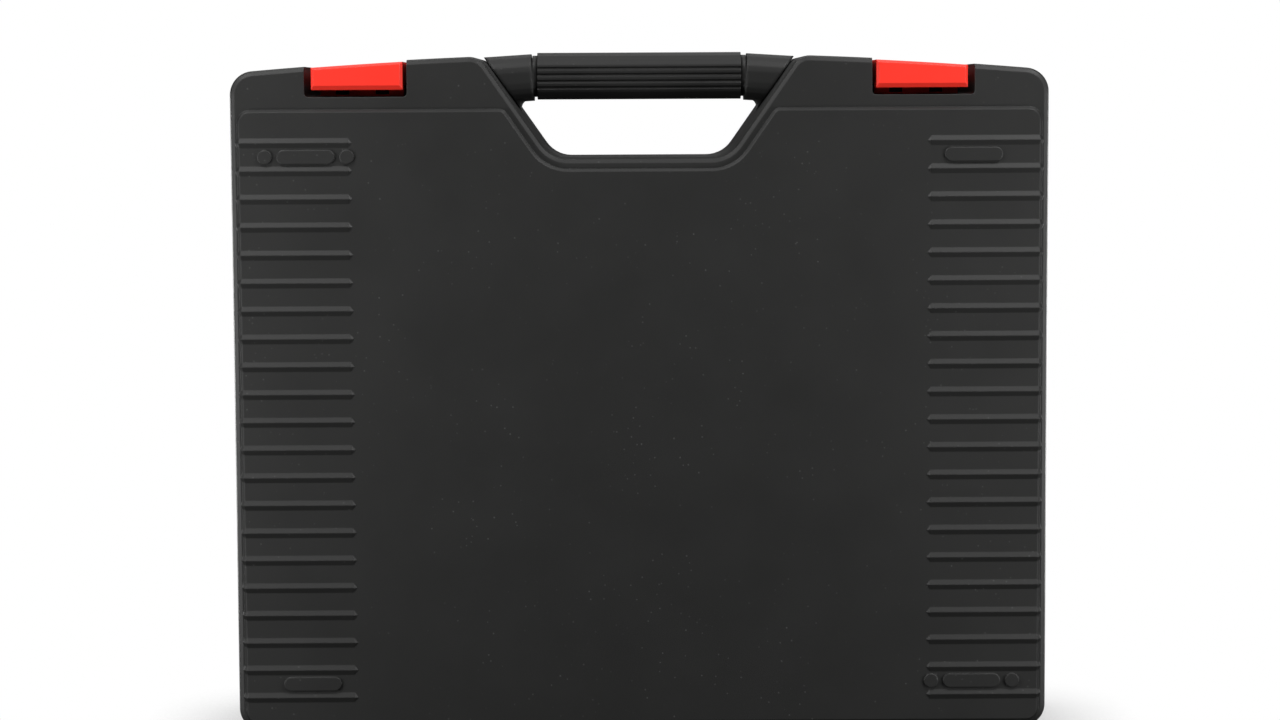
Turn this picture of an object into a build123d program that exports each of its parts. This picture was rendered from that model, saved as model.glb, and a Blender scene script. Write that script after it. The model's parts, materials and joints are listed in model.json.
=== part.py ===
from build123d import *
from math import atan2, cos, degrees, radians, sin, sqrt, tan
import os

# Hard transport case that stands upright on its hinge side.
# X runs along the width, Y from the front of the lid to the back of the base, Z up.
# The two halves meet on the plane Y = 0 and the origin is on the floor below the middle.
# All sizes are millimetres.

# Case halves
case_width = 406.0
body_height = 338.9
half_depth = 51.0
wall = 3.0
bottom_corner_radius = 11.0
top_corner_radius = 12.0
top_arc_radius = 2280.0
edge_radius = 2.5

# Handle recess in the top edge
recess_depth = 51.9
recess_floor_half = 43.8
recess_flank_angle = 35.0
recess_floor_radius = 16.0
recess_shoulder_radius = 10.0

# Raised panel on both faces
panel_rise = 3.0
panel_ledge = 3.6
panel_foot_ledge = 3.5
panel_edge_chamfer = 1.2
panel_corner_radius = 6.5
panel_bend_radius = 4.0
panel_recess_gap = 5.3
panel_latch_gap = 6.3

# Ribs along both sides of the panel
rib_count = 21
rib_length = 55.0
rib_width = 5.0
rib_height = 1.0
rib_bend = 1.5
rib_root = 0.6
rib_end_run = 2.5
rib_end_dip = 1.4
first_rib_drop = 16.3
last_rib_rise = 14.0

# Flat pads between the ribs
pad_height = 1.2
pad_length = 28.4
pad_width = 6.8
pad_spacing = 20.3
pad_side_distance = 34.1

# Seam between the halves
tongue_thickness = 1.2
tongue_length = 2.0
tongue_gap = 0.25
tongue_start_height = 34.0
tongue_pocket_gap = 2.5

# Hinge along the bottom edge
knuckle_radius = 3.4
knuckle_facets = 16
knuckle_floor_gap = 0.1
hinge_side_distance = 90.0
outer_knuckle_length = 12.0
middle_knuckle_length = 17.0
knuckle_gap = 0.3
knuckle_root = 8.0
hinge_pin_radius = 1.5
running_gap = 0.05
seated_gap = 0.02

# Feet beside the hinge
foot_turn_gap = 0.2
foot_length = 32.0
foot_depth = 24.0
foot_front = 13.0
foot_wall = 2.4
foot_corner = 3.0
foot_sink = 1.2
base_foot_side_distance = 36.0
lid_foot_side_distance = 78.0

# Latch pockets
latch_share = 0.4856
latch_width = 45.2
latch_side_gap = 2.8
pocket_outset = 0.8
pocket_depth = 16.8
pocket_corner_radius = 2.0
pocket_back = 40.0

# Latches
latch_top_drop = 0.8
latch_skin = 2.4
latch_proud = 2.0
latch_nose_chamfer = 1.2
latch_lip_height = 3.5
latch_bevel_height = 2.1
latch_bevel_depth = 1.4
web_front = 20.2
web_thickness = 2.2
web_inset = 1.5
web_floor_gap = 0.4
window_width = 6.8
window_height = 5.2
window_offset = 10.1
window_sill = 0.9
latch_rib_offset = 10.0
latch_rib_width = 1.6
latch_rib_height = 2.5
latch_pin_radius = 1.5
latch_pivot_depth = 30.0
latch_pivot_drop = 6.9
latch_barrel_radius = 4.0
pin_boss_half = 4.5
pin_boss_length = 3.0
pin_end_gap = 0.5

# Catch wall for the latch web
catch_gap = 0.3
catch_thickness = 2.4
catch_height = 10.0
catch_side_gap = 2.0
catch_rib_depth = 5.0
catch_rib_width = 2.0

# Handle
handle_rise = 0.9
grip_height = 23.7
grip_depth = 28.0
grip_length = 103.4
grip_corner_radius = 9.0
grip_corner_facets = 5
grip_wall = 3.4
grip_cheek = 5.0
grip_core_gap = 0.15
grip_split_gap = 0.1
groove_width = 2.5
groove_depth = 1.4
stub_step = 0.6
stub_lid_gap = 0.6
opening_corner_radius = 4.3
stub_foot_half_depth = 8.0
flute_count = 4
flute_pitch = 3.3
flute_top_drop = 8.1
flute_width = 1.7
flute_depth = 0.65

# Screws
screw_radius = 1.6
screw_head_radius = 2.9
shank_facets = 12
screw_head_height = 1.9
screw_length = 9.0
handle_screw_depth = 7.0
handle_screw_pitch = 7.0
grip_screw_offset = 32.0
grip_screw_length = 24.0
grip_head_sink = 0.4

# Foam
foam_gap = 0.3
foam_side_gap = 1.0
foam_corner_radius = 4.0
lid_foam_thickness = 34.0
foam_pad_thickness = 8.0
foam_frame_thickness = 38.0
foam_border = 49.0

# Places that follow from the sizes above
axis_height = knuckle_radius + knuckle_floor_gap
foot_height = 2 * axis_height + foot_turn_gap
crown = foot_height + body_height
case_half = case_width / 2
panel_face = half_depth + panel_rise
panel_half = case_half - panel_ledge
panel_bottom = foot_height + panel_foot_ledge
recess_floor = crown - recess_depth
recess_mouth = recess_floor_half + recess_depth * tan(radians(recess_flank_angle))
latch_x = recess_mouth + latch_share * (case_half - recess_mouth)
pocket_x = latch_x + pocket_outset
latch_arc_drop = top_arc_radius - sqrt(top_arc_radius ** 2 - latch_x ** 2)
pocket_floor = crown - latch_arc_drop - pocket_depth
pocket_half = latch_width / 2 + latch_side_gap
panel_top = pocket_floor - panel_latch_gap
rib_top = panel_top - first_rib_drop
rib_pitch = (rib_top - panel_bottom - last_rib_rise) / (rib_count - 1)
pad_x = panel_half - pad_side_distance
pivot_height = crown - latch_arc_drop - latch_pivot_drop
web_bottom = pocket_floor + web_floor_gap
hinge_x = case_half - hinge_side_distance
grip_half = grip_length / 2
grip_middle = crown + handle_rise - grip_height / 2
stub_start = grip_half + groove_width

FRONT = Plane.XZ


def top_height(x):
    """Height of the curved top edge at a distance from the middle, on the seam."""
    return crown - top_arc_radius + sqrt(top_arc_radius ** 2 - x ** 2)


def flank_x(height, grow):
    """Half width of the handle recess at a height, with its walls moved out by grow."""
    angle = radians(recess_flank_angle)
    return recess_floor_half + (height - recess_floor) * tan(angle) + grow / cos(angle)


def recess_face(grow):
    """Sharp-cornered outline of the handle recess, open above the top edge."""
    floor = recess_floor - grow
    high = crown + 2 * recess_shoulder_radius
    low_half = flank_x(floor, grow)
    high_half = flank_x(high, grow)
    return make_face(Polyline(
        (-low_half, floor), (low_half, floor), (high_half, high), (-high_half, high), close=True))


def round_corners(face, picks):
    """Round the corners of a face. Each pick is a test on a vertex and its radius."""
    for test, radius in picks:
        chosen = [corner for corner in face.vertices() if test(corner)]
        face = fillet(chosen, radius)
    return face


def arched_face(half, low, drop):
    """Flat outline with straight sides and a bottom, under the curved top edge less drop."""
    radius = top_arc_radius - drop
    centre = crown - top_arc_radius
    shoulder = centre + sqrt(radius ** 2 - half ** 2)
    sides = Polyline((half, shoulder), (half, low), (-half, low), (-half, shoulder))
    top = ThreePointArc((-half, shoulder), (0, centre + radius), (half, shoulder))
    return make_face(sides.edges() + top.edges())


def case_outline(inset):
    """Outline of the case at the seam, moved inward by inset."""
    half = case_half - inset
    face = arched_face(half, foot_height + inset, inset) - recess_face(inset)
    middle = foot_height + body_height / 2
    shoulder = recess_floor + recess_depth / 2
    return round_corners(face, [
        (lambda v: abs(v.X) > half - 1 and v.Y > middle, top_corner_radius - inset),
        (lambda v: abs(v.X) > half - 1 and v.Y < middle, bottom_corner_radius - inset),
        (lambda v: abs(v.X) < half / 2 and v.Y > shoulder, recess_shoulder_radius - inset),
        (lambda v: abs(v.X) < half / 2 and middle < v.Y < shoulder,
         recess_floor_radius + inset),
    ])


def half_solid(inset, depth):
    """Solid body of a case half in front of the seam."""
    return extrude(FRONT * case_outline(inset), amount=depth)


def eased_half():
    """Outer body of a case half, its front edge rounded in two bands."""
    across = edge_radius * (1 - cos(radians(45)))
    along = edge_radius - across
    steep = degrees(atan2(across, along))
    trunk = half_solid(0, half_depth - edge_radius)
    side_band = extrude(FRONT.offset(half_depth - edge_radius) * case_outline(0), amount=along,
                        taper=steep)
    front_band = extrude(FRONT.offset(half_depth - across) * case_outline(across),
                         amount=across, taper=90 - steep)
    return trunk + side_band + front_band


def panel_outline(inset):
    """Outline of the raised panel, which follows the handle recess."""
    half = panel_half - inset
    low = panel_bottom + inset
    high = panel_top - inset
    centre = (0, (low + high) / 2)
    gap = panel_recess_gap + inset
    face = Pos(*centre) * Rectangle(2 * half, high - low) - recess_face(gap)
    bend = flank_x(high, gap)
    floor = recess_floor - gap
    return round_corners(face, [
        (lambda v: abs(v.X) > half - 1, panel_corner_radius),
        (lambda v: abs(abs(v.X) - bend) < 1 and v.Y > high - 1, panel_bend_radius),
        (lambda v: abs(v.X) < bend - 1 and abs(v.Y - floor) < 1,
         recess_floor_radius + panel_recess_gap),
    ])


def panel_block(inset, back, front):
    """Panel or its hollow between two distances from the seam."""
    return extrude(FRONT.offset(back) * panel_outline(inset), amount=front - back)


def eased_panel():
    """Raised panel with its front edge eased all round."""
    block = panel_block(0, half_depth - wall / 2, panel_face)
    front = block.faces().sort_by(Axis.Y)[0]
    return chamfer(front.edges(), panel_edge_chamfer)


def rib():
    """One ridged rib on the right side, at height zero, bent over the panel's edge."""
    half = rib_width / 2
    section = make_face(Polyline(
        (-half, -rib_root), (-half, 0), (0, rib_height), (half, 0), (half, -rib_root),
        close=True))
    outer_x = panel_half
    inner_x = panel_half - rib_length
    face_y = -panel_face
    start = Vector(inner_x - rib_end_run, face_y + rib_end_dip, 0)
    level = Vector(inner_x, face_y, 0)
    path = Polyline(start, level, (outer_x - rib_bend, face_y, 0),
                    (outer_x, face_y + rib_bend, 0), (outer_x, rib_root - half_depth, 0))
    end = Plane(origin=start, x_dir=(0, 0, 1), z_dir=level - start)
    return sweep(end * section, path=path, transition=Transition.RIGHT)


def both_sides(shape):
    """The shape on the right side, and its mirror image on the left."""
    return [shape, mirror(shape, about=Plane.YZ)]


def ribs():
    """All ribs of one face."""
    right = [Pos(0, 0, rib_top - row * rib_pitch) * rib() for row in range(rib_count)]
    return [one for bar in right for one in both_sides(bar)]


def pad_group(x, height, with_dots):
    """A long pad between two ribs, with a round pad at each end where asked."""
    plan = Pos(x, height) * SlotOverall(pad_length, pad_width)
    plans = [plan]
    if with_dots:
        plans += [Pos(x + shift, height) * Circle(pad_width / 2)
                  for shift in (-pad_spacing, pad_spacing)]
    start = FRONT.offset(panel_face - rib_root)
    return [extrude(start * plan, amount=pad_height + rib_root) for plan in plans]


def pads(with_dots):
    """Pads in the four corners of one face, with dots at two of them where asked."""
    high = rib_top - rib_pitch / 2
    low = rib_top - (rib_count - 1.5) * rib_pitch
    return (pad_group(-pad_x, high, with_dots) + pad_group(pad_x, high, False)
            + pad_group(-pad_x, low, False) + pad_group(pad_x, low, with_dots))


def latch_pocket(grow, front, back):
    """Space of the right latch pocket, its walls moved out by grow, between two Y planes."""
    low = pocket_floor - grow
    high = crown + grow
    half = pocket_half + grow
    plan = Pos(pocket_x, (low + high) / 2) * Rectangle(2 * half, high - low)
    corners = [v for v in plan.vertices() if v.Y < low + 1]
    plan = fillet(corners, pocket_corner_radius + grow)
    return extrude(FRONT.offset(-back) * plan, amount=back - front)


def case_shell(pocket_front, pocket_back, bumps):
    """Hollow half with panel and bumps, its latch pockets cut between two Y planes."""
    body = eased_half() + ([eased_panel()] + bumps)
    hollow = half_solid(wall, half_depth - wall)
    hollow = hollow + panel_block(wall, half_depth - 2 * wall, panel_face - wall)
    deep = pocket_back + wall if pocket_back < half_depth else pocket_back
    shallow = pocket_front - wall if pocket_front > -half_depth else pocket_front
    hollow = hollow - both_sides(latch_pocket(wall, shallow, deep))
    return body - both_sides(latch_pocket(0, pocket_front, pocket_back)) - hollow


def seam_regions(start_height, gap):
    """Stretches of the seam that carry the tongue: both sides and beside the handle."""
    pocket_outer = pocket_x + pocket_half + wall + gap
    pocket_inner = pocket_x - pocket_half - wall - gap
    recess_outer = flank_x(crown, 0) + wall + gap + recess_shoulder_radius / 2
    high = crown + wall
    depth = 4 * tongue_length
    side = Pos((pocket_outer + case_half) / 2, 0, (start_height + high) / 2) * Box(
        case_half - pocket_outer, depth, high - start_height)
    top = Pos((pocket_inner + recess_outer) / 2, 0, high - top_corner_radius) * Box(
        pocket_inner - recess_outer, depth, 2 * top_corner_radius)
    return both_sides(side) + both_sides(top)


def seam_band(outer, inner, length, start_height, gap):
    """Strip along the inside of the wall, in front of the seam."""
    band = half_solid(outer, length) - half_solid(inner, length)
    return band & Compound(children=seam_regions(start_height, gap))


def knuckle(start, length, bore, toward):
    """Right hinge knuckle along X with its root, on the side of the seam given by toward."""
    disc = RegularPolygon(knuckle_radius, knuckle_facets)
    root_top = foot_height + wall / 2 - axis_height
    root = make_face(Polyline(
        (0, -knuckle_radius), (toward * knuckle_root, root_top), (0, root_top), close=True))
    section = disc + root - Circle(bore)
    return extrude(Plane.YZ.offset(start) * Pos(0, axis_height) * section, amount=length)


def foot(side_distance, toward):
    """Right foot, an open ring below the bottom wall."""
    plan = Rectangle(foot_length, foot_depth)
    ring = (chamfer(plan.vertices(), foot_corner)
            - Rectangle(foot_length - 2 * foot_wall, foot_depth - 2 * foot_wall))
    top = foot_height + foot_sink / 2
    middle = foot_front + foot_depth / 2
    return extrude(Pos(case_half - side_distance, toward * middle) * ring, amount=top)


def rod(radius, start, end, y, height):
    """Round bar along X."""
    return extrude(Plane.YZ.offset(start) * Pos(y, height) * Circle(radius), amount=end - start)


def lid_catch():
    """Right catch wall that the latch's web hooks over, with ribs behind it."""
    front = -(web_front - web_thickness - catch_gap)
    back = front + catch_thickness
    half = latch_width / 2 - latch_skin - catch_side_gap
    low = pocket_floor - wall / 2
    tall = Pos(latch_x, (front + back) / 2, (low + pocket_floor + catch_height) / 2) * Box(
        2 * half, catch_thickness, pocket_floor + catch_height - low)
    prop = make_face(Polyline(
        (back - catch_thickness / 2, low), (back + catch_rib_depth, low),
        (back - catch_thickness / 2, pocket_floor + catch_height / 2), close=True))
    props = [extrude(Plane.YZ.offset(latch_x + shift - catch_rib_width / 2) * prop,
                     amount=catch_rib_width)
             for shift in (catch_rib_width - half, 0, half - catch_rib_width)]
    return [tall] + props


def make_lid():
    """Front half of the case."""
    shell = case_shell(-half_depth - wall, wall, ribs() + pads(True))
    start = hinge_x - middle_knuckle_length / 2
    extras = [
        knuckle(start, middle_knuckle_length, hinge_pin_radius + running_gap, -1),
        foot(lid_foot_side_distance, -1),
    ] + lid_catch()
    shell = shell + [one for extra in extras for one in both_sides(extra)]
    lower = tongue_start_height - tongue_gap
    slot = seam_band(wall - tongue_thickness - tongue_gap, wall + tongue_gap,
                     tongue_length + tongue_gap, lower, tongue_pocket_gap - tongue_gap)
    return shell - slot


def pin_bosses():
    """Two bosses beside the right latch pocket that hold the latch pin."""
    root = wall / 2
    reach = pocket_half + wall + (pin_boss_length - root) / 2
    return [Pos(pocket_x + side * reach, latch_pivot_depth, pivot_height) * Box(
        pin_boss_length + root, 2 * pin_boss_half, 2 * pin_boss_half) for side in (-1, 1)]


def screw_seats():
    """Planes of the right handle screws, each on the inside of the recess wall."""
    angle = radians(recess_flank_angle)
    along = Vector(sin(angle), 0, cos(angle))
    inward = Vector(cos(angle), 0, -sin(angle))
    middle = Vector(flank_x(grip_middle, 0), handle_screw_depth, grip_middle)
    seats = []
    for shift in (handle_screw_pitch / 2, -handle_screw_pitch / 2):
        origin = middle + along * shift + inward * wall
        seats.append(Plane(origin=origin, z_dir=inward))
    return seats


def make_base():
    """Rear half of the case."""
    shell = mirror(case_shell(-pocket_back, wall, ribs() + pads(False)), about=Plane.XZ)
    first = hinge_x - middle_knuckle_length / 2 - knuckle_gap - outer_knuckle_length
    second = hinge_x + middle_knuckle_length / 2 + knuckle_gap
    bore = hinge_pin_radius + seated_gap
    extras = [
        knuckle(first, outer_knuckle_length, bore, 1),
        knuckle(second, outer_knuckle_length, bore, 1),
        foot(base_foot_side_distance, 1),
    ] + pin_bosses()
    shell = shell + [one for extra in extras for one in both_sides(extra)]
    tongue = seam_band(wall - tongue_thickness, wall, tongue_length, tongue_start_height,
                       tongue_pocket_gap)
    shell = shell + tongue
    reach = pocket_half + wall + 2 * pin_boss_length
    bores = [rod(latch_pin_radius + seated_gap, pocket_x - reach, pocket_x + reach,
                 latch_pivot_depth, pivot_height)]
    for seat in screw_seats():
        bores.append(extrude(seat.offset(-2 * wall) * Circle(screw_radius + running_gap),
                             amount=3 * wall))
    return shell - [one for bore in bores for one in both_sides(bore)]


def latch_block(inset, front, back, low):
    """Space under the latch's curved top, moved inward by inset, between two Y planes."""
    arch = arched_face(case_half, low, latch_top_drop + inset)
    tall = crown - low
    strip = Pos(latch_x, low + tall / 2) * Rectangle(latch_width - 2 * inset, tall)
    return extrude(FRONT.offset(-back) * (arch & strip), amount=back - front)


def make_latch():
    """Right latch: skin, lip, web with two windows, ribs and barrel in one moulding."""
    front = -half_depth - latch_proud
    back = latch_pivot_depth + latch_barrel_radius
    lip = pocket_floor + latch_lip_height
    block = latch_block(0, front, back, lip - 1)
    nose = block.faces().sort_by(Axis.Y)[0].edges().sort_by(Axis.Z)[1:]
    block = chamfer(nose, latch_nose_chamfer)
    hollow = latch_block(latch_skin, front + latch_skin,
                         latch_pivot_depth - latch_barrel_radius, lip - 2)
    barrel_low = pivot_height - latch_barrel_radius
    side_low = lip + latch_skin
    high = crown + 1
    profile = make_face(Polyline(
        (front, high), (front, lip + latch_bevel_height), (front + latch_bevel_depth, lip),
        (front + latch_skin + latch_bevel_depth, lip), (front + 2 * latch_skin, side_low),
        (latch_pivot_depth, barrel_low), (back, barrel_low), (back, high), close=True))
    heel = [v for v in profile.vertices() if v.X > back - 1 and v.Y < high - 1]
    profile = fillet(heel, latch_barrel_radius - running_gap)
    start = latch_x - pocket_half
    envelope = extrude(Plane.YZ.offset(start) * profile, amount=2 * pocket_half)
    latch = (block - hollow) & envelope
    web_high = pivot_height
    web = Pos(latch_x, web_thickness / 2 - web_front, (web_bottom + web_high) / 2) * Box(
        latch_width - 2 * web_inset, web_thickness, web_high - web_bottom)
    arch = arched_face(case_half, web_high - 1, latch_top_drop + latch_skin / 2)
    strip = Pos(latch_x, (web_high + crown) / 2) * Rectangle(
        latch_width - latch_skin, crown - web_high + 2)
    neck = extrude(FRONT.offset(web_front - web_thickness) * (arch & strip),
                   amount=web_thickness)
    beam_low = latch_skin + latch_rib_height
    beam_back = latch_pivot_depth - latch_barrel_radius / 2
    beams = []
    for shift in (-latch_rib_offset, latch_rib_offset):
        beam_face = (arched_face(case_half, lip, latch_top_drop + latch_skin / 2)
                     - arched_face(case_half, lip - 1, latch_top_drop + beam_low))
        slot = Pos(latch_x + shift, crown - latch_top_drop - beam_low) * Rectangle(
            latch_rib_width, 4 * beam_low)
        beams.append(extrude(FRONT.offset(-beam_back) * (beam_face & slot),
                             amount=beam_back - front - latch_skin / 2))
    latch = latch + [web, neck] + beams
    for shift in (-window_offset, window_offset):
        middle = web_bottom + window_sill + window_height / 2
        latch = latch - Pos(latch_x + shift, web_thickness / 2 - web_front, middle) * Box(
            window_width, 2 * web_thickness, window_height)
    reach = pocket_half + 1
    bore = rod(latch_pin_radius + running_gap, latch_x - reach, latch_x + reach,
               latch_pivot_depth, pivot_height)
    return latch - bore


def make_latch_pin():
    """Right latch pin, seated in both bosses."""
    reach = pocket_half + wall + pin_boss_length - pin_end_gap
    return rod(latch_pin_radius, pocket_x - reach, pocket_x + reach, latch_pivot_depth,
               pivot_height)


def make_hinge_pin():
    """Right hinge pin through all three knuckles."""
    reach = middle_knuckle_length / 2 + knuckle_gap + outer_knuckle_length
    return rod(hinge_pin_radius, hinge_x - reach, hinge_x + reach, 0, axis_height)


def handle_run(section, start, end):
    """Straight run of a section in Y and Z along X at the height of the grip."""
    return extrude(Plane.YZ.offset(start) * Pos(0, grip_middle) * section, amount=end - start)


def handle_stub():
    """Right stub, which slopes from the end of the grip to the case's shoulder."""
    far = flank_x(crown, wall)
    fall = crown + handle_rise - stub_step - top_height(far)
    direction = Vector(far - stub_start, 0, -fall)
    start = Plane(origin=(stub_start, 0, grip_middle - stub_step), x_dir=(0, 1, 0),
                  z_dir=direction)
    return extrude(start * grip_section(0), amount=direction.length)


def grip_section(inset):
    """Section of the grip and the stubs, moved inward by inset, its corners in facets."""
    radius = grip_corner_radius - inset
    hub = (grip_depth / 2 - grip_corner_radius, grip_height / 2 - grip_corner_radius)
    points = []
    for quarter, (side, up) in enumerate(((1, 1), (-1, 1), (-1, -1), (1, -1))):
        for step in range(grip_corner_facets + 1):
            turn = radians(90 * (quarter + step / grip_corner_facets))
            points.append((side * hub[0] + radius * cos(turn), up * hub[1] + radius * sin(turn)))
    return make_face(Polyline(*points, close=True))


def core_section(grow):
    """Section of the bar inside the grip."""
    return Rectangle(grip_depth - 2 * (grip_cheek - grow), grip_height - 2 * (grip_wall - grow))


def recess_space():
    """Space of the handle recess: seated on the base behind the seam, clear of the lid."""
    front = extrude(FRONT * recess_face(-stub_lid_gap), amount=grip_depth)
    rear = extrude(FRONT * recess_face(0), amount=-half_depth)
    return [front, rear]


def opening_corners():
    """Rounded upper corners of the finger opening, which thicken the foot of each stub."""
    ceiling = grip_middle - grip_height / 2
    depth = 2 * opening_corner_radius
    band = Pos(0, ceiling - depth / 2) * Rectangle(case_width, depth)
    opening = recess_face(0) & band
    top = [v for v in opening.vertices() if v.Y > ceiling - 1]
    rounded = fillet(top, opening_corner_radius)
    lift = Pos(0, ceiling) * Rectangle(case_width, 2)
    feet = (opening + (recess_face(0) & lift)) - rounded
    grip = Pos(0, ceiling) * Rectangle(2 * stub_start, 4 * depth)
    return extrude(FRONT.offset(-stub_foot_half_depth) * (feet - grip),
                   amount=2 * stub_foot_half_depth)


def make_handle_core():
    """Handle moulding: inner bar, a groove at each end of the grip and the outer stubs."""
    bar = handle_run(core_section(0), -grip_half, grip_half)
    neck = handle_run(grip_section(groove_depth), grip_half, stub_start)
    solid = bar + (both_sides(neck) + both_sides(handle_stub()) + [opening_corners()])
    space = recess_space()
    solid = solid & (space[0] + space[1])
    holes = []
    for seat in screw_seats():
        holes.append(extrude(seat.offset(-wall - screw_length - seated_gap)
                             * Circle(screw_radius + seated_gap), amount=screw_length + wall))
    holes = [one for hole in holes for one in both_sides(hole)]
    shaft = Pos(grip_screw_offset, grip_middle) * Circle(screw_radius + seated_gap)
    through = extrude(FRONT.offset(-grip_depth) * shaft, amount=2 * grip_depth)
    return solid - (holes + both_sides(through))


def grip_outline_y(drop):
    """Distance of the grip's surface from the seam at a drop below the top."""
    from_middle = abs(grip_height / 2 - drop)
    beyond = from_middle - (grip_height / 2 - grip_corner_radius)
    flat = grip_depth / 2 - grip_corner_radius
    if beyond <= 0:
        return grip_depth / 2
    return flat + sqrt(grip_corner_radius ** 2 - beyond ** 2)


def make_grip(toward):
    """Half of the grip on one side of the seam, -1 for the front and 1 for the rear."""
    section = grip_section(0) - core_section(grip_core_gap)
    half = Pos(toward * (grip_depth / 2 + grip_split_gap), 0) * Rectangle(
        grip_depth, 2 * grip_height)
    grip = handle_run(section & half, -grip_half, grip_half)
    for row in range(flute_count):
        height = grip_height / 2 - flute_top_drop - row * flute_pitch
        surface = grip_outline_y(grip_height / 2 - height)
        floor = toward * (surface - flute_depth)
        brim = toward * (surface + flute_depth)
        groove = make_face(Polyline(
            (floor, height - flute_width / 4), (floor, height + flute_width / 4),
            (brim, height + 3 * flute_width / 4), (brim, height - 3 * flute_width / 4),
            close=True))
        grip = grip - handle_run(groove, -grip_half - 1, grip_half + 1)
    seat = grip_depth / 2 - screw_head_height - grip_head_sink
    tip = seat - grip_screw_length - seated_gap
    hole = Pos(grip_screw_offset, grip_middle) * Circle(screw_radius + seated_gap)
    sink = Pos(grip_screw_offset, grip_middle) * Circle(screw_head_radius + running_gap)
    bored = extrude(FRONT.offset(-seat) * hole, amount=seat - tip)
    mouth = extrude(FRONT.offset(-grip_depth) * sink, amount=grip_depth - seat)
    return grip - (both_sides(bored) + both_sides(mouth))


def screw(length):
    """Hexagon-head screw along Z with its head above zero."""
    head = extrude(RegularPolygon(screw_head_radius, 6), amount=screw_head_height)
    shank = extrude(Plane.XY.offset(-length) * RegularPolygon(screw_radius, shank_facets),
                    amount=length)
    return head + shank


def foam_pocket():
    """Outline of the pocket for the contents in the middle of the frame."""
    half = panel_half - foam_border
    low = panel_bottom + foam_border
    high = recess_floor - foam_border
    return Pos(0, (low + high) / 2) * RectangleRounded(2 * half, high - low,
                                                       foam_corner_radius)


def foam_layer(outline, front, back):
    """Flat layer of foam between two Y planes."""
    return extrude(FRONT.offset(-back) * outline, amount=back - front)


def make_foams():
    """Foam in the lid, and the frame and the pad in the base."""
    outline = panel_outline(wall + foam_side_gap)
    deepest = panel_face - wall - foam_gap
    lid_foam = foam_layer(outline, -deepest, lid_foam_thickness - deepest)
    pad_front = deepest - foam_pad_thickness
    pad = foam_layer(outline, pad_front, deepest)
    frame_back = pad_front - foam_gap
    frame = foam_layer(outline - foam_pocket(), frame_back - foam_frame_thickness, frame_back)
    return {"lid_foam": lid_foam, "foam_frame": frame, "foam_pad": pad}


def build():
    """All pieces by name."""
    latch_pair = both_sides(make_latch())
    latch_pins = both_sides(make_latch_pin())
    hinge_pins = both_sides(make_hinge_pin())
    pieces = {
        "base_shell": make_base(),
        "lid_shell": make_lid(),
        "hinge_pin_right": hinge_pins[0],
        "hinge_pin_left": hinge_pins[1],
        "latch_right": latch_pair[0],
        "latch_left": latch_pair[1],
        "latch_pin_right": latch_pins[0],
        "latch_pin_left": latch_pins[1],
        "handle_core": make_handle_core(),
        "grip_front": make_grip(-1),
        "grip_rear": make_grip(1),
    }
    for name, seat in zip(("upper", "lower"), screw_seats()):
        right, left = both_sides(seat * screw(wall + screw_length))
        pieces["handle_screw_right_" + name] = right
        pieces["handle_screw_left_" + name] = left
    seat_y = grip_depth / 2 - screw_head_height - grip_head_sink
    rear = Plane(origin=(grip_screw_offset, seat_y, grip_middle), z_dir=(0, 1, 0))
    right, left = both_sides(rear * screw(grip_screw_length))
    pieces["grip_screw_right"] = right
    pieces["grip_screw_left"] = left
    pieces.update(make_foams())
    return pieces


os.makedirs("parts", exist_ok=True)
for name, piece in build().items():
    export_step(piece, "parts/" + name + ".step")
    print(name, len(piece.solids()), "solids", round(piece.volume), "mm3")
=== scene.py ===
"""Looks of the hard transport case: finishes, foam, screws, studio and camera."""
import json
import logging
import math
from dataclasses import dataclass
from enum import Enum
from typing import Any, NamedTuple, Optional, Sequence, Union

import bmesh
import bpy
import numpy as np
from mathutils import Matrix, Vector, noise

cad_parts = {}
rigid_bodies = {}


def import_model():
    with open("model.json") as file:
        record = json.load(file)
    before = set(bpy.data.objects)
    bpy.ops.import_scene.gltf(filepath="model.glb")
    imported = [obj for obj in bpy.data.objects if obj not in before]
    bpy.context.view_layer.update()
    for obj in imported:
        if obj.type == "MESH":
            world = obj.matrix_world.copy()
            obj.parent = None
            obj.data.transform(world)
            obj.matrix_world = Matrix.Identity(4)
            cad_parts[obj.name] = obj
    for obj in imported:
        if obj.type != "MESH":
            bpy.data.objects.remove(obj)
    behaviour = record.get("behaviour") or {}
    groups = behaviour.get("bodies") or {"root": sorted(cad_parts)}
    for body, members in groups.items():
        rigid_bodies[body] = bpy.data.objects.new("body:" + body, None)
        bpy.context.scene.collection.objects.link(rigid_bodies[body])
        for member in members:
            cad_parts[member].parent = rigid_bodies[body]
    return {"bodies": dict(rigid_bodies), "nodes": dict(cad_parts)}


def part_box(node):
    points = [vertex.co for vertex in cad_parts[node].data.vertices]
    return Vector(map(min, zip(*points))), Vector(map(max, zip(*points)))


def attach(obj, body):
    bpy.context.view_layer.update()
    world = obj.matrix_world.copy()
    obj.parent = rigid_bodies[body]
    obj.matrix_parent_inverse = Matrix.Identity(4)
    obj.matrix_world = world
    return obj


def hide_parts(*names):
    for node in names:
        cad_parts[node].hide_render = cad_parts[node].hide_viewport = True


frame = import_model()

LOG = logging.getLogger("transport_case")
MM = 0.001
SIDES = ("left", "right")
ROWS = ("upper", "lower")
WHITE = (1.0, 1.0, 1.0)
EVEN = (1.0, 1.0, 1.0)

Colour = tuple[float, float, float]
Point = tuple[float, float, float]


class Slot(Enum):
    """Material slot names of the record for the pieces that are made here; nothing in the script
    uses them.
    """

    METAL = "steel"
    FOAM = "foam"


class Body(Enum):
    """Bodies that the pieces made here ride on."""

    BASE = "base"
    LID = "lid"


class Band(NamedTuple):
    """Range of values over which a mask rises from 0 to 1."""

    low: float
    high: float


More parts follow.
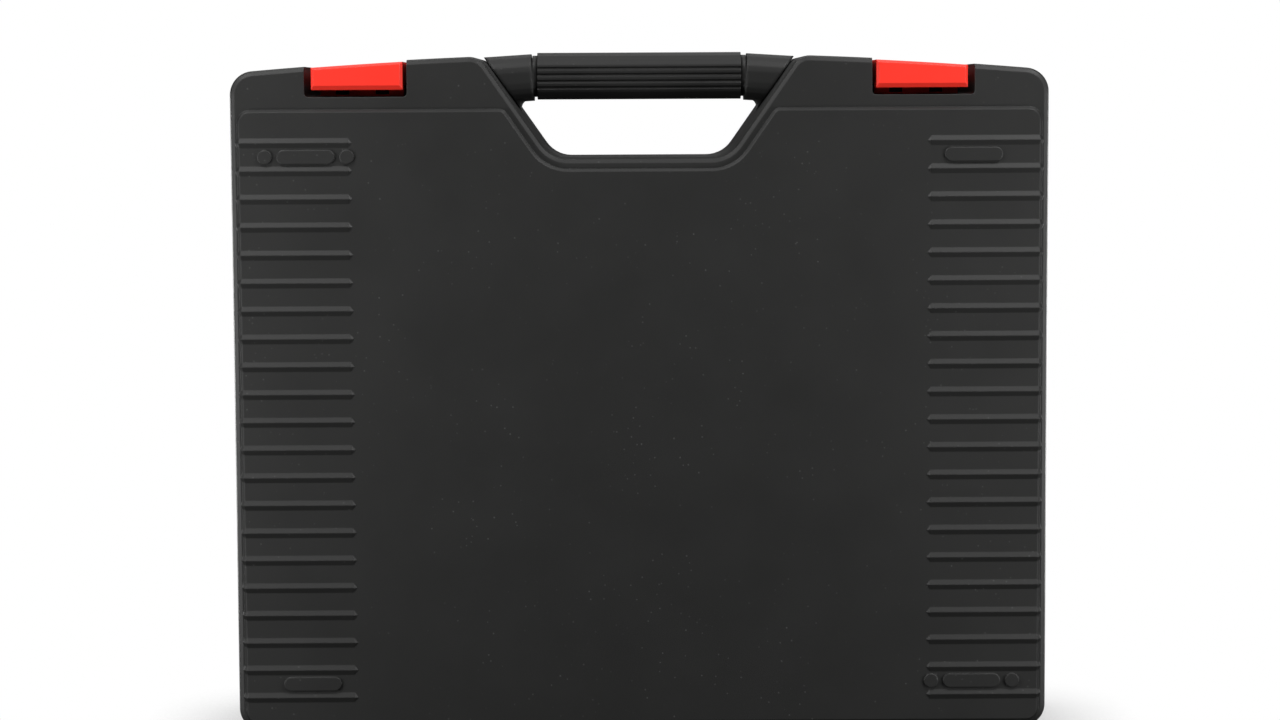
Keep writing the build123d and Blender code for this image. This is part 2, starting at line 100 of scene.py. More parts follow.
class Cloud(NamedTuple):
    """Soft noise: patch size in metres, finer layers, their strength and a stretch per axis."""

    size: float
    detail: float
    roughness: float
    stretch: Point = EVEN


class Signal:
    """An output socket of a shader node, with arithmetic that adds Math nodes."""

    def __init__(self, graph: "Graph", socket: Optional[bpy.types.NodeSocket]) -> None:
        """Wraps a socket.

        Args:
            graph: The node graph that the socket belongs to.
            socket: The output socket, or None for a node that has no output.
        """
        self.graph = graph
        self.socket = socket

    def _math(self, operation: str, *terms: "Term") -> "Signal":
        """Adds one Math node.

        Args:
            operation: The node's operation.
            terms: Its values or links, in the order of its sockets.

        Returns:
            The node's result.
        """
        return self.graph.add("ShaderNodeMath", {"operation": operation}, dict(enumerate(terms)))

    def __add__(self, other: "Term") -> "Signal":
        """Sum of two values."""
        return self._math("ADD", self, other)

    def __radd__(self, other: "Term") -> "Signal":
        """Sum with a number on the left."""
        return self._math("ADD", other, self)

    def __sub__(self, other: "Term") -> "Signal":
        """Difference of two values."""
        return self._math("SUBTRACT", self, other)

    def __rsub__(self, other: "Term") -> "Signal":
        """Difference from a number on the left."""
        return self._math("SUBTRACT", other, self)

    def __mul__(self, other: "Term") -> "Signal":
        """Product of two values."""
        return self._math("MULTIPLY", self, other)

    def __rmul__(self, other: "Term") -> "Signal":
        """Product with a number on the left."""
        return self._math("MULTIPLY", other, self)

    def rise(self, band: Band) -> "Signal":
        """Smooth step over a band.

        Args:
            band: The values where the step starts and ends.

        Returns:
            The stepped value, from 0 to 1.
        """
        return self.graph.add(
            "ShaderNodeMapRange",
            {"interpolation_type": "SMOOTHSTEP"},
            {"Value": self, "From Min": band.low, "From Max": band.high},
        )

    def swing(self, depth: float) -> "Signal":
        """Value from 0 to 1 turned into one that swings round 0 by half of a depth."""
        return depth * (self - 0.5)


Term = Union[float, int, Signal]


def blank_material(name: str) -> bpy.types.Material:
    """Makes a material that has a node tree.

    Args:
        name: The material's name.

    Returns:
        The material.
    """
    made = bpy.data.materials.new(name)
    made.use_nodes = True
    return made


class Graph:
    """Node graph of a material or the world."""

    bevel_samples: int = 6

    def __init__(self, tree: bpy.types.NodeTree) -> None:
        """Empties a node tree.

        Args:
            tree: The tree that the nodes go into.
        """
        self.tree = tree
        self.tree.nodes.clear()

    def add(
        self,
        kind: str,
        settings: Optional[dict[str, Any]] = None,
        inputs: Optional[dict[Union[str, int], Any]] = None,
        output: Union[str, int] = 0,
    ) -> Signal:
        """Adds a node of any type.

        Args:
            kind: The node's type.
            settings: Its properties, which are set first.
            inputs: Values or links by the socket's name or number.
            output: The output that is wanted.

        Returns:
            The wanted output.
        """
        node = self.tree.nodes.new(kind)
        for key, value in (settings or {}).items():
            setattr(node, key, value)
        for key, value in (inputs or {}).items():
            socket = node.inputs[key]
            if isinstance(value, Signal):
                self.tree.links.new(value.socket, socket)
            elif isinstance(value, tuple) and socket.type == "RGBA":
                socket.default_value = (*value, 1.0)
            else:
                socket.default_value = value
        return Signal(self, node.outputs[output] if node.outputs else None)

    def place(self, stretch: Point = EVEN) -> Signal:
        """Object coordinates.

        Args:
            stretch: Factor along each axis.

        Returns:
            The coordinates.
        """
        spot = self.add("ShaderNodeTexCoord", output="Object")
        if stretch == EVEN:
            return spot
        return self.add("ShaderNodeVectorMath", {"operation": "MULTIPLY"}, {0: spot, 1: stretch})

    def cloud(self, cloud: Cloud) -> Signal:
        """Soft noise.

        Args:
            cloud: The noise's size, layers and stretch.

        Returns:
            The noise, from 0 to 1.
        """
        inputs = {
            "Vector": self.place(cloud.stretch),
            "Scale": 1.0 / cloud.size,
            "Detail": cloud.detail,
            "Roughness": cloud.roughness,
        }
        return self.add("ShaderNodeTexNoise", {"noise_dimensions": "3D"}, inputs)

    def cells(self, size: float) -> Signal:
        """Distance to the nearest of scattered points.

        Args:
            size: The rough distance between the points, in metres.

        Returns:
            The distance in units of size.
        """
        inputs = {"Vector": self.place(), "Scale": 1.0 / size}
        return self.add("ShaderNodeTexVoronoi", {"feature": "F1"}, inputs, "Distance")

    def blend(self, share: Term, first: Colour, second: Colour) -> Signal:
        """Colour between two colours.

        Args:
            share: How much of the second colour, from 0 to 1.
            first: The first colour.
            second: The second colour.

        Returns:
            The mixed colour.
        """
        inputs = {0: share, 6: first, 7: second}
        return self.add("ShaderNodeMix", {"data_type": "RGBA"}, inputs, 2)

    def along(self, vector: Signal, direction: Signal) -> Signal:
        """Dot product of two vectors."""
        settings = {"operation": "DOT_PRODUCT"}
        return self.add("ShaderNodeVectorMath", settings, {0: vector, 1: direction}, "Value")

    def rounded(self, radius: float) -> Signal:
        """Normal that rounds sharp edges off over a radius in metres."""
        return self.add("ShaderNodeBevel", {"samples": self.bevel_samples}, {"Radius": radius})

    def edges(self, soft: Signal, bend: Band) -> Signal:
        """Mask that is 1 on edges.

        Args:
            soft: The rounded normal.
            bend: The bend where the mask starts and where it is full.

        Returns:
            The mask.
        """
        flat = self.add("ShaderNodeNewGeometry", output="Normal")
        return (1.0 - self.along(soft, flat)).rise(bend)

    def relief(self, height: Signal, depth: float, normal: Optional[Signal] = None) -> Signal:
        """Normal with a relief on it.

        Args:
            height: The relief's height from 0 to 1.
            depth: How deep it is, in metres.
            normal: The normal that it stands on, or None for the mesh's own.

        Returns:
            The new normal.
        """
        inputs: dict[Union[str, int], Any] = {"Height": height, "Distance": depth}
        if normal is not None:
            inputs["Normal"] = normal
        return self.add("ShaderNodeBump", None, inputs)

    def finish(self, **sockets: Any) -> None:
        """Adds the surface shader of a material and ends its graph.

        Args:
            sockets: Values or links, with the sockets' names in lower case and underscores.
        """
        names = {
            "base_color": "Base Color",
            "metallic": "Metallic",
            "roughness": "Roughness",
            "level": "Specular IOR Level",
            "sheen_weight": "Sheen Weight",
            "sheen_roughness": "Sheen Roughness",
            "normal": "Normal",
        }
        inputs = {names[key]: value for key, value in sockets.items()}
        shader = self.add("ShaderNodeBsdfPrincipled", None, inputs)
        self.add("ShaderNodeOutputMaterial", None, {"Surface": shader})


@dataclass(frozen=True)
class MouldedPlastic:
    """Moulded plastic with a fine grain, slight unevenness, light specks and worn edges.

    The lengths are in metres. A share says how far a mask lifts the colour towards the
    worn one, and a gloss how far it moves the roughness.
    """

    name: str
    colour: Colour
    worn: Colour
    roughness: float
    level: float
    edge: float
    edge_bend: Band = Band(0.02, 0.30)
    grain: Cloud = Cloud(0.45 * MM, 2.0, 0.6)
    grain_depth: float = 0.02 * MM
    grain_gloss: float = 0.12
    sway: Cloud = Cloud(60.0 * MM, 1.0, 0.4)
    sway_depth: float = 0.5 * MM
    patch: Cloud = Cloud(45.0 * MM, 3.0, 0.6)
    patch_share: float = 0.05
    patch_gloss: float = 0.10
    scuff: Cloud = Cloud(6.0 * MM, 4.0, 0.7, (1.0, 1.0, 0.25))
    scuff_band: Band = Band(0.42, 0.62)
    rub_least: float = 0.35
    rub_share: float = 0.45
    rub_gloss: float = 0.10
    speck_gap: float = 4.5 * MM
    speck_band: Band = Band(0.06, 0.12)
    speck_patch: Band = Band(0.35, 0.65)
    speck_share: float = 0.7

    def material(self) -> bpy.types.Material:
        """Builds the plastic's material.

        Returns:
            The material.
        """
        made = blank_material(self.name)
        graph = Graph(made.node_tree)
        soft = graph.rounded(self.edge)
        edge = graph.edges(soft, self.edge_bend)
        patch = graph.cloud(self.patch)
        scuff = graph.cloud(self.scuff).rise(self.scuff_band)
        speck = 1.0 - graph.cells(self.speck_gap).rise(self.speck_band)
        speck = speck * patch.rise(self.speck_patch)
        rub = edge * (self.rub_least + (1.0 - self.rub_least) * scuff)
        lift = self.patch_share * patch + self.rub_share * rub + self.speck_share * speck
        tone = graph.blend(lift, self.colour, self.worn)
        grain = graph.cloud(self.grain)
        swayed = graph.relief(graph.cloud(self.sway), self.sway_depth, soft)
        fine = graph.relief(grain, self.grain_depth, swayed)
        gloss = self.roughness + patch.swing(self.patch_gloss) + grain.swing(self.grain_gloss)
        gloss = gloss - self.rub_gloss * rub
        graph.finish(base_color=tone, roughness=gloss, level=self.level, normal=fine)
        return made


@dataclass(frozen=True)
class BrushedMetal:
    """Plain zinc-plated steel with slight streaks and dull patches."""

    name: str
    colour: Colour
    tarnish: Colour
    roughness: float
    edge: float = 0.25 * MM
    streak: Cloud = Cloud(1.2 * MM, 3.0, 0.6, (0.2, 1.0, 1.0))
    streak_depth: float = 0.01 * MM
    streak_gloss: float = 0.10
    patch: Cloud = Cloud(5.0 * MM, 3.0, 0.6)
    patch_band: Band = Band(0.4, 0.75)
    patch_gloss: float = 0.18

    def material(self) -> bpy.types.Material:
        """Builds the metal's material.

        Returns:
            The material.
        """
        made = blank_material(self.name)
        graph = Graph(made.node_tree)
        soft = graph.rounded(self.edge)
        streak = graph.cloud(self.streak)
        patch = graph.cloud(self.patch)
        tone = graph.blend(patch.rise(self.patch_band), self.colour, self.tarnish)
        gloss = self.roughness + patch.swing(self.patch_gloss) + streak.swing(self.streak_gloss)
        fine = graph.relief(streak, self.streak_depth, soft)
        graph.finish(base_color=tone, metallic=1.0, roughness=gloss, normal=fine)
        return made


@dataclass(frozen=True)
class OpenFoam:
    """Dark open-cell foam, with shade painted into its pores."""

    name: str
    colour: Colour
    # The cell colour is the dark of the shade painted into the pores.
    cell: Colour
    size: float = 1.1 * MM
    pore_shade_band: Band = Band(0.15, 0.55)
    pore_shade_share: float = 0.75
    fluff: Cloud = Cloud(9.0 * MM, 3.0, 0.6)
    fluff_share: float = 0.25
    fluff_gloss: float = 0.06
    crumb: Cloud = Cloud(0.5 * MM, 2.0, 0.6)
    crumb_share: float = 0.6
    depth: float = 0.45 * MM
    roughness: float = 0.92
    level: float = 0.2
    sheen: float = 0.15
    sheen_roughness: float = 0.6

    def material(self) -> bpy.types.Material:
        """Builds the foam's material.

        Returns:
            The material.
        """
        made = blank_material(self.name)
        graph = Graph(made.node_tree)
        cells = graph.cells(self.size)
        fluff = graph.cloud(self.fluff)
        # Painted shade: the colour darkens in the pits at the cells' points, where the pores'
        # hollows would be in shadow.
        pore_shade = 1.0 - cells.rise(self.pore_shade_band)
        dark = self.pore_shade_share * pore_shade + self.fluff_share * fluff
        height = cells + self.crumb_share * graph.cloud(self.crumb)
        graph.finish(
            base_color=graph.blend(dark, self.colour, self.cell),
            roughness=self.roughness + self.fluff_gloss * fluff,
            level=self.level,
            sheen_weight=self.sheen,
            sheen_roughness=self.sheen_roughness,
            normal=graph.relief(height, self.depth),
        )
        return made


@dataclass(frozen=True)
class StudioPaper:
    """Pale sheet that shows the white studio, with a shadow painted close to the case.

    The lid swings below the floor's height, so the sheet lets what is below it show.
    """

    name: str
    colour: Colour
    # How dark the painted shadow gets, and how far from the case it reaches.
    shade: float
    reach: float
    samples: int = 8

    def material(self) -> bpy.types.Material:
        """Builds the floor's material.

        Returns:
            The material.
        """
        made = blank_material(self.name)
        graph = Graph(made.node_tree)
        settings = {"samples": self.samples}
        # Painted shadow: a dark sheet is mixed over the clear one where the case is near, in place
        # of a cast shadow.
        free = graph.add(
            "ShaderNodeAmbientOcclusion", settings, {"Distance": self.reach}, "AO"
        )
        clear = graph.add("ShaderNodeBsdfTransparent")
        painted_shade_sheet = graph.add("ShaderNodeBsdfDiffuse", None, {"Color": self.colour})
        painted_shade_cover = self.shade * (1.0 - free)
        sheet = graph.add("ShaderNodeMixShader", None, {0: painted_shade_cover, 1: clear, 2: painted_shade_sheet})
        graph.add("ShaderNodeOutputMaterial", None, {"Surface": sheet})
        return made


SHELL = MouldedPlastic(
    name="shell_plastic",
    colour=(0.0088, 0.0089, 0.0086),
    worn=(0.048, 0.049, 0.048),
    roughness=0.52,
    level=0.35,
    edge=0.7 * MM,
)
HANDLE = MouldedPlastic(
    name="handle_plastic",
    colour=(0.0088, 0.0089, 0.0086),
    worn=(0.034, 0.035, 0.034),
    roughness=0.52,
    level=0.35,
    edge=2.0 * MM,
)
GRIP = MouldedPlastic(
    name="grip_plastic",
    colour=(0.0075, 0.0075, 0.0073),
    worn=(0.028, 0.028, 0.027),
    roughness=0.50,
    level=0.35,
    edge=0.9 * MM,
    grain=Cloud(0.8 * MM, 2.0, 0.6),
)
LATCH = MouldedPlastic(
    name="latch_plastic",
    colour=(0.74, 0.027, 0.015),
    worn=(0.70, 0.030, 0.018),
    roughness=0.36,
    level=0.5,
    edge=0.5 * MM,
    grain_depth=0.008 * MM,
    sway_depth=0.25 * MM,
    speck_share=0.0,
)
METAL = BrushedMetal(
    name="plated_steel",
    colour=(0.60, 0.59, 0.57),
    tarnish=(0.42, 0.41, 0.39),
    roughness=0.30,
)
FOAM = OpenFoam(
    name="case_foam",
    colour=(0.050, 0.050, 0.053),
    cell=(0.012, 0.012, 0.013),
)
# The floor's colour and shade are the dark and the strength of its painted contact shadow.
FLOOR = StudioPaper(name="studio_paper", colour=(0.10, 0.10, 0.10), shade=0.8, reach=0.06)


def show(name: str, data: bpy.types.ID) -> bpy.types.Object:
    """Puts a mesh, a lamp or a camera into the scene.

    Args:
        name: The object's name.
        data: What the object shows.

    Returns:
        The object.
    """
    made = bpy.data.objects.new(name, data)
    bpy.context.scene.collection.objects.link(made)
    return made


class Mesh:
    """Helper that turns points and faces into pieces of the model."""

    @staticmethod
    def piece(
        name: str, points: Sequence[Vector], faces: Sequence[Sequence[int]], smooth: float = 35.0
    ) -> bpy.types.Object:
        """Makes a mesh object.

        Args:
            name: The object's name.
            points: Its points, in metres.
            faces: Its faces, as numbers of points.
            smooth: Edges bent less than this, in degrees, are shaded smooth.

        Returns:
            The new object.
        """
        data = bpy.data.meshes.new(name)
        data.from_pydata([tuple(point) for point in points], [], [list(face) for face in faces])
        Mesh.shade(data, smooth)
        return show(name, data)

    @staticmethod
    def shade(data: bpy.types.Mesh, smooth: float) -> None:
        """Turns all faces outwards and shades shallow edges smooth.

        Args:
            data: The mesh.
            smooth: Edges bent less than this, in degrees, are shaded smooth.
        """
        solid = bmesh.new()
        solid.from_mesh(data)
        bmesh.ops.recalc_face_normals(solid, faces=solid.faces)
        for face in solid.faces:
            face.smooth = True
        for edge in solid.edges:
            edge.smooth = edge.calc_face_angle(0.0) < math.radians(smooth)
        solid.to_mesh(data)
        solid.free()

    @staticmethod
    def settle(piece: bpy.types.Object) -> None:
        """Puts the result of a piece's modifiers into its mesh.

        Args:
            piece: The piece.
        """
        bpy.context.view_layer.update()
        shown = piece.evaluated_get(bpy.context.evaluated_depsgraph_get())
        data = bpy.data.meshes.new_from_object(shown)
        piece.modifiers.clear()
        piece.data = data

    @staticmethod
    def rings(loops: Sequence[Sequence[Vector]]) -> tuple[list[Vector], list[list[int]]]:
        """Joins closed loops with the same number of points and closes both ends.

        Args:
            loops: The loops, in order.

        Returns:
            The points and the faces.
        """
        count = len(loops[0])
        points = [point for loop in loops for point in loop]
        faces = []
        for row in range(len(loops) - 1):
            this, following = row * count, (row + 1) * count
            for spot in range(count):
                step = (spot + 1) % count
                faces.append([this + spot, this + step, following + step, following + spot])
        faces.append(list(range(count))[::-1])
        faces.append(list(range((len(loops) - 1) * count, len(loops) * count)))
        return points, faces


@dataclass
class CaseHalf:
    """One moulded half of the case, from the frame."""

    node: str

    def dress(self) -> None:
        """Gives the half its plastic."""
        dress_node(self.node, SHELL.material())


@dataclass
class Latch:
    """A red latch on its steel pin."""

    node: str
    pin: str

    def dress(self) -> None:
        """Gives the latch its red plastic and the pin its steel."""
        dress_node(self.node, LATCH.material())
        dress_node(self.pin, METAL.material())


@dataclass
class Handle:
    """The carrying handle: its bar and the two grip halves round it."""

    bar: str = "handle_core"
    halves: tuple[str, str] = ("grip_front", "grip_rear")

    def dress(self) -> None:
        """Gives the bar and the grips their plastics."""
        dress_node(self.bar, HANDLE.material())
        for half in self.halves:
            dress_node(half, GRIP.material())


@dataclass
class Hinge:
    """The two steel pins along the bottom edge."""

    pins: tuple[str, str] = ("hinge_pin_left", "hinge_pin_right")

    def dress(self) -> None:
        """Gives the pins their steel."""
        for pin in self.pins:
            dress_node(pin, METAL.material())


@dataclass
class CrossScrew:
    """A screw with a six-sided head and a cross recess, in the place of a node of the frame.

    The cross's reach, width and slopes are shares of the head's radius. The thread's root
    and the tip's two radii are shares of the shank's radius.
    """

    node: str
    turns: int = 48
    smooth: float = 40.0
    snug: float = 0.998
    rim: float = 0.9
    head_rings: int = 14
    head_face: float = 0.97
    head_edge: float = 0.5 * MM
    dome: float = 0.35 * MM
    dome_power: int = 5
    cross_reach: float = 0.62
    cross_width: float = 0.20
    cross_depth: float = 1.1 * MM
    cross_wall: float = 0.06
    cross_end: float = 0.10
    cross_taper: float = 0.6
    neck_step: float = 0.02 * MM
    thread_pitch: float = 1.25 * MM
    thread_root: float = 0.80
    thread_flank: float = 0.25
    thread_end: float = 1.2
    tip_start: float = 0.95
    tip_end: float = 0.20

    def build(self) -> bpy.types.Object:
        """Builds the screw along the axis of its node.

        Returns:
            The screw.
        """
        spots = np.array([vertex.co for vertex in frame["nodes"][self.node].data.vertices])
        middle = (spots.min(0) + spots.max(0)) / 2
        axis = np.linalg.svd(spots - spots.mean(0), full_matrices=False)[2][0]
        along = (spots - middle) @ axis
        off = np.linalg.norm(spots - middle - np.outer(along, axis), axis=1)
        outer = off > self.rim * off.max()
        if along[outer].mean() < 0:
            axis, along = -axis, -along
        top, neck, tip = float(along.max()), float(along[outer].min()), float(along.min())
        head = float(off.max()) * self.snug
        shank = float(off[along < neck - self.head_edge].max()) * self.snug
        turn = Vector((0, 0, 1)).rotation_difference(Vector(axis)).to_matrix()
        corner = turn.transposed() @ Vector(spots[int(off.argmax())] - middle)
        loops = self._head(head, top) + self._shank(head, shank, neck, tip)
        turn = turn @ Matrix.Rotation(math.atan2(corner.y, corner.x), 3, "Z")
        loops = [[turn @ point + Vector(middle) for point in loop] for loop in loops]
        points, faces = Mesh.rings(loops)
        name = self.node.replace("screw", "cross_screw")
        screw = Mesh.piece(name, points, faces, self.smooth)
        screw.data.materials.append(METAL.material())
        return screw

    def _circle(self, radius: float, height: float) -> list[Vector]:
        """Points round the screw's axis."""
        angles = [math.tau * turn / self.turns for turn in range(self.turns)]
        return [Vector((radius * math.cos(a), radius * math.sin(a), height)) for a in angles]

    def _hexagon(self, radius: float, height: float) -> list[Vector]:
        """Points round a hexagon with a corner on X.

        Args:
            radius: Distance of its corners from the axis.
            height: Its height.

        Returns:
            As many points as a circle has.
        """
        side = math.tau / 6
        points = []
        for point in self._circle(radius, height):
            off = math.atan2(point.y, point.x) % side - side / 2
            share = math.cos(side / 2) / math.cos(off)
            points.append(Vector((point.x * share, point.y * share, height)))
        return points

    def _sunk(self, near: float, far: float) -> float:
        """Depth of the cross at a point of the head's face.

        Args:
            near: The smaller of the point's distances from the two arms' axes.
            far: The larger of them.

        Returns:
            The depth below the face, in metres.
        """
        inside = max(0.0, min(1.0, (self.cross_width - near) / self.cross_wall))
        inside *= max(0.0, min(1.0, (self.cross_reach - far) / self.cross_end))
        return self.cross_depth * inside * (1.0 - self.cross_taper * far / self.cross_reach)

    def _head(self, radius: float, top: float) -> list[list[Vector]]:
        """Loops of the head's face, with the cross sunk into it.

        Args:
            radius: Distance of the head's corners from the axis.
            top: The height of its highest point.

        Returns:
            The loops from the middle outwards.
        """
        loops = []
        for ring in range(1, self.head_rings + 1):
            share = ring / self.head_rings
            loop = self._hexagon(radius * share * self.head_face, 0.0)
            for point in loop:
                near, far = sorted((abs(point.x) / radius, abs(point.y) / radius))
                crown = self.dome * (point.xy.length / radius) ** self.dome_power
                point.z = top - crown - self._sunk(near, far)
            loops.append(loop)
        return loops

    def _shank(self, head: float, shank: float, neck: float, tip: float) -> list[list[Vector]]:
        """Loops of the head's underside and the threaded shank.

        Args:
            head: The head's radius.
            shank: The shank's radius.
            neck: The height where the head ends.
            tip: The height of the screw's end.

        Returns:
            The loops from the head to the tip.
        """
        loops = [self._hexagon(head, neck + self.head_edge), self._hexagon(head, neck)]
        loops.append(self._circle(shank, neck - self.neck_step))
        flank = self.thread_flank * self.thread_pitch
        height = neck - self.thread_pitch
        while height - self.thread_pitch > tip + self.thread_end * shank:
            loops.append(self._circle(shank, height + flank))
            loops.append(self._circle(shank * self.thread_root, height - flank))
            height -= self.thread_pitch
        loops.append(self._circle(shank * self.tip_start, tip + shank))
        loops.append(self._circle(shank * self.tip_end, tip))
        return loops

    def dress(self) -> bpy.types.Object:
        """Puts the screw in the place of its node.

        Returns:
            The screw.
        """
        screw = self.build()
        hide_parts(self.node)
        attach(screw, Body.BASE.value)
        return screw


@dataclass
class FoamPiece:
    """A piece of foam in the place of a soft node of the frame.

    Points closer than weld are joined, and faces that bend less than level_angle, in
    degrees, become one.
    """

    node: str
    name: str
    body: Body
    weld: float = 0.01 * MM
    level_angle: float = 1.0

    def outline(self) -> bmesh.types.BMesh:
        """Copy of the node's block with its points joined.

        Returns:
            The block.
        """
        block = bmesh.new()
        block.from_mesh(frame["nodes"][self.node].data)
        bmesh.ops.remove_doubles(block, verts=block.verts, dist=self.weld)
        angle = math.radians(self.level_angle)
        bmesh.ops.dissolve_limit(
            block, angle_limit=angle, verts=block.verts, edges=block.edges
        )
        return block

    def build(self) -> bpy.types.Object:
        """Builds the foam's mesh.

        Returns:
            The foam.
        """
        raise NotImplementedError

    def dress(self) -> bpy.types.Object:
        """Puts the foam in the place of its node.

        Returns:
            The foam.
        """
        foam = self.build()
        foam.data.materials.clear()
        foam.data.materials.append(FOAM.material())
        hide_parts(self.node)
        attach(foam, self.body.value)
        return foam


@dataclass
class WavedFoam(FoamPiece):
    """Foam with rows of soft bumps towards the contents.

    The bumps are a pitch apart and a wave high, with as many points to a pitch as steps.
    """

    pitch: float = 30.0 * MM
    wave: float = 17.0 * MM
    steps: int = 8
    lean: float = 0.5 * MM
    lean_scale: float = 35.0
    margin: float = 2.0 * MM
    smooth: float = 50.0

    def build(self) -> bpy.types.Object:
        """Builds a waved block and cuts it to the node's outline.

        Returns:
            The foam.
        """
        block = self._block()
        cutter = show("foam_outline", bpy.data.meshes.new("foam_outline"))
        shape = self.outline()
        shape.to_mesh(cutter.data)
        shape.free()
        cut = block.modifiers.new("outline", "BOOLEAN")
        cut.operation, cut.solver, cut.object = "INTERSECT", "EXACT", cutter
        Mesh.settle(block)
        bpy.data.objects.remove(cutter)
        Mesh.shade(block.data, self.smooth)
        return block

    def _block(self) -> bpy.types.Object:
        """Block with one waved face, a margin wider than the node.

        Returns:
            The block.
        """
        low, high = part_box(self.node)
        wide = math.ceil((high.x - low.x + 2 * self.margin) / self.pitch * self.steps)
        tall = math.ceil((high.z - low.z + 2 * self.margin) / self.pitch * self.steps)
        step = self.pitch / self.steps
        start = Vector(((low.x + high.x - wide * step) / 2, 0, (low.z + high.z - tall * step) / 2))
        points = []
        for row in range(tall + 1):
            for column in range(wide + 1):
                x, z = start.x + column * step, start.z + row * step
                points.append(Vector((x, self._height(x, z, high.y), z)))
        line = wide + 1
        front = [
            [row * line + column + turn for turn in (0, 1, line + 1, line)]
            for row in range(tall)
            for column in range(wide)
        ]
        rim = list(range(wide)) + [row * line + wide for row in range(tall)]
        rim += [tall * line + column for column in range(wide, 0, -1)]
        rim += [row * line for row in range(tall, 0, -1)]
        back = list(range(len(points), len(points) + len(rim)))
        points += [Vector((points[spot].x, low.y - self.margin, points[spot].z)) for spot in rim]
        sides = []
        for spot in range(len(rim)):
            following = (spot + 1) % len(rim)
            sides.append([rim[spot], back[spot], back[following], rim[following]])
        return Mesh.piece(self.name, points, front + sides + [back])

    def _height(self, x: float, z: float, top: float) -> float:
        """Distance of the waved face from the seam's plane at a point.

        Args:
            x: Place across.
            z: Place upwards.
            top: Place of the bumps' crests.

        Returns:
            The place along Y.
        """
        across, upwards = (0.5 * (1 + math.cos(math.tau * spot / self.pitch)) for spot in (x, z))
        bump = across * upwards
        uneven = noise.noise(Vector((x, 0.0, z)) * self.lean_scale) * self.lean
        return top - self.wave * (1.0 - bump) - self.lean + uneven


@dataclass
class CutFoam(FoamPiece):
    """Foam with softened cut edges."""

    soften: float = 1.5 * MM
    segments: int = 3
    sharp: float = 60.0
    smooth: float = 40.0

    def build(self) -> bpy.types.Object:
        """Builds the block with its edges softened.

        Returns:
            The foam.
        """
        block = self.outline()
        bend = math.radians(self.sharp)
        sharp = [edge for edge in block.edges if edge.calc_face_angle(0.0) > bend]
        bmesh.ops.bevel(
            block, geom=sharp, offset=self.soften, segments=self.segments, affect="EDGES"
        )
        data = bpy.data.meshes.new(self.name)
        block.to_mesh(data)
        block.free()
        Mesh.shade(data, self.smooth)
        return show(self.name, data)


@dataclass(frozen=True)
class Softbox:
    """A soft rectangular light, with its power in watts."""

    name: str
    place: Point
    aim: Point
    size: tuple[float, float]
    power: float

    def build(self) -> None:
        """Makes the light."""
        data = bpy.data.lights.new(self.name, "AREA")
        data.shape = "RECTANGLE"
        data.size, data.size_y = self.size
        data.energy = self.power
        lamp = show(self.name, data)
        lamp.location = self.place
        lamp.visible_camera = False
        toward = Vector(self.aim) - Vector(self.place)
        lamp.rotation_euler = toward.to_track_quat("-Z", "Y").to_euler()


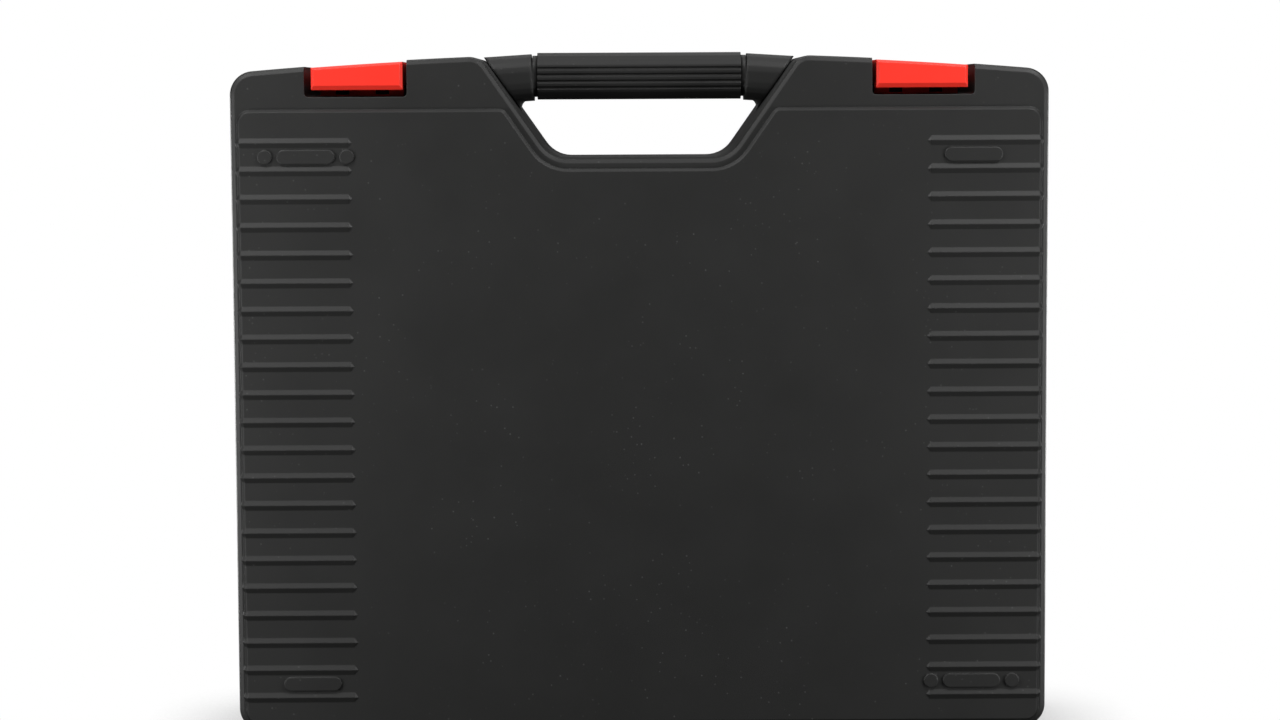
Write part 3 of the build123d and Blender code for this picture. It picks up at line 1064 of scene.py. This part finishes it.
@dataclass
class Studio:
    """Pale floor, soft lights and the camera at the photograph's angle.

    The camera's angles are in degrees, and its lens and sensor in millimetres. The
    surround is the strength of the light that comes from all sides. The side boxes stay
    below the case's top, so they leave no glare on the latches when seen from behind.
    """

    eye: Point = (-7.5 * MM, -1541.3 * MM, 323.2 * MM)
    pitch: float = 4.966
    roll: float = 0.278
    yaw: float = -0.272
    lens: float = 84.375
    sensor: float = 36.0
    clip: tuple[float, float] = (0.05, 60.0)
    floor_reach: float = 9.0
    floor_turns: int = 96
    surround: float = 0.05
    lamps: tuple[Softbox, ...] = (
        Softbox("over_box", (0.0, 0.15, 1.35), (0.0, 0.15, 0.0), (1.3, 0.7), 3.7),
        Softbox("back_box", (0.0, 1.0, 1.3), (0.0, 0.0, 0.3), (1.4, 0.6), 3.4),
        Softbox("left_shoulder_box", (-0.5, -0.5, 0.95), (-0.1, 0.0, 0.25), (0.35, 0.35), 6.8),
        Softbox("right_shoulder_box", (0.5, -0.5, 0.95), (0.1, 0.0, 0.25), (0.35, 0.35), 7.2),
        Softbox("left_box", (-0.6, -0.42, 0.15), (-0.15, 0.0, 0.15), (0.3, 0.3), 3.0),
        Softbox("right_box", (0.6, -0.42, 0.15), (0.15, 0.0, 0.15), (0.3, 0.3), 2.7),
        Softbox("rear_left_box", (-0.6, 0.42, 0.15), (-0.15, 0.0, 0.15), (0.3, 0.3), 2.8),
        Softbox("rear_right_box", (0.6, 0.42, 0.15), (0.15, 0.0, 0.15), (0.3, 0.3), 2.8),
    )

    def camera(self) -> None:
        """Makes the camera."""
        turn = (
            Matrix.Rotation(math.radians(self.yaw), 3, "Z")
            @ Matrix.Rotation(math.radians(-self.pitch), 3, "X")
            @ Matrix.Rotation(math.radians(self.roll), 3, "Y")
        )
        right, ahead, above = turn.col[0], turn.col[1], turn.col[2]
        matrix = Matrix((right, above, -ahead)).transposed().to_4x4()
        matrix.translation = Vector(self.eye)
        data = bpy.data.cameras.new("photo_camera")
        data.lens, data.sensor_width = self.lens, self.sensor
        data.clip_start, data.clip_end = self.clip
        eye = show("photo_camera", data)
        eye.matrix_world = matrix
        bpy.context.scene.camera = eye

    def floor(self) -> None:
        """Makes the floor."""
        rim = []
        for turn in range(self.floor_turns):
            angle = math.tau * turn / self.floor_turns
            rim.append(Vector((math.cos(angle), math.sin(angle), 0.0)) * self.floor_reach)
        ground = Mesh.piece("studio_floor", rim, [list(range(self.floor_turns))])
        ground.data.materials.append(FLOOR.material())

    def lights(self) -> None:
        """Makes the soft lights and the pale surround."""
        for lamp in self.lamps:
            lamp.build()
        world = bpy.data.worlds.new("studio")
        world.use_nodes = True
        graph = Graph(world.node_tree)
        shown = graph.add("ShaderNodeLightPath", output="Is Camera Ray")
        strength = self.surround + (1.0 - self.surround) * shown
        paper = {"Color": WHITE, "Strength": strength}
        light = graph.add("ShaderNodeBackground", None, paper)
        graph.add("ShaderNodeOutputWorld", None, {"Surface": light})
        bpy.context.scene.world = world
        bpy.context.scene.view_settings.view_transform = "Standard"

    def build(self) -> None:
        """Builds the studio."""
        self.camera()
        self.floor()
        self.lights()


def dress_node(node: str, material: bpy.types.Material) -> None:
    """Gives a node of the frame its finish.

    Args:
        node: The node's name.
        material: The finish.
    """
    piece = frame["nodes"][node]
    for number in range(len(piece.material_slots)):
        piece.material_slots[number].material = material
    LOG.info("%s: %s", node, material.name)


def clear_startup() -> None:
    """Removes what an empty start-up file brings along."""
    kept = set(frame["nodes"].values()) | set(frame["bodies"].values())
    for thing in list(bpy.data.objects):
        if thing not in kept:
            bpy.data.objects.remove(thing)


def main() -> None:
    """Builds the scene, piece by piece."""
    logging.basicConfig(level=logging.INFO, format="%(name)s: %(message)s")
    clear_startup()
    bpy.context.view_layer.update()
    Studio().build()
    CaseHalf("base_shell").dress()
    CaseHalf("lid_shell").dress()
    for side in SIDES:
        Latch(f"latch_{side}", f"latch_pin_{side}").dress()
    Handle().dress()
    Hinge().dress()
    screws = [f"handle_screw_{side}_{row}" for side in SIDES for row in ROWS]
    screws += [f"grip_screw_{side}" for side in SIDES]
    for screw in screws:
        LOG.info("screw %s", CrossScrew(screw).dress().name)
    foams = (
        WavedFoam("lid_foam", "lid_foam_waved", Body.LID),
        CutFoam("foam_frame", "foam_frame_cut", Body.BASE),
        CutFoam("foam_pad", "foam_pad_cut", Body.BASE),
    )
    for foam in foams:
        LOG.info("foam %s", foam.dress().name)


if __name__ == "__main__":
    main()
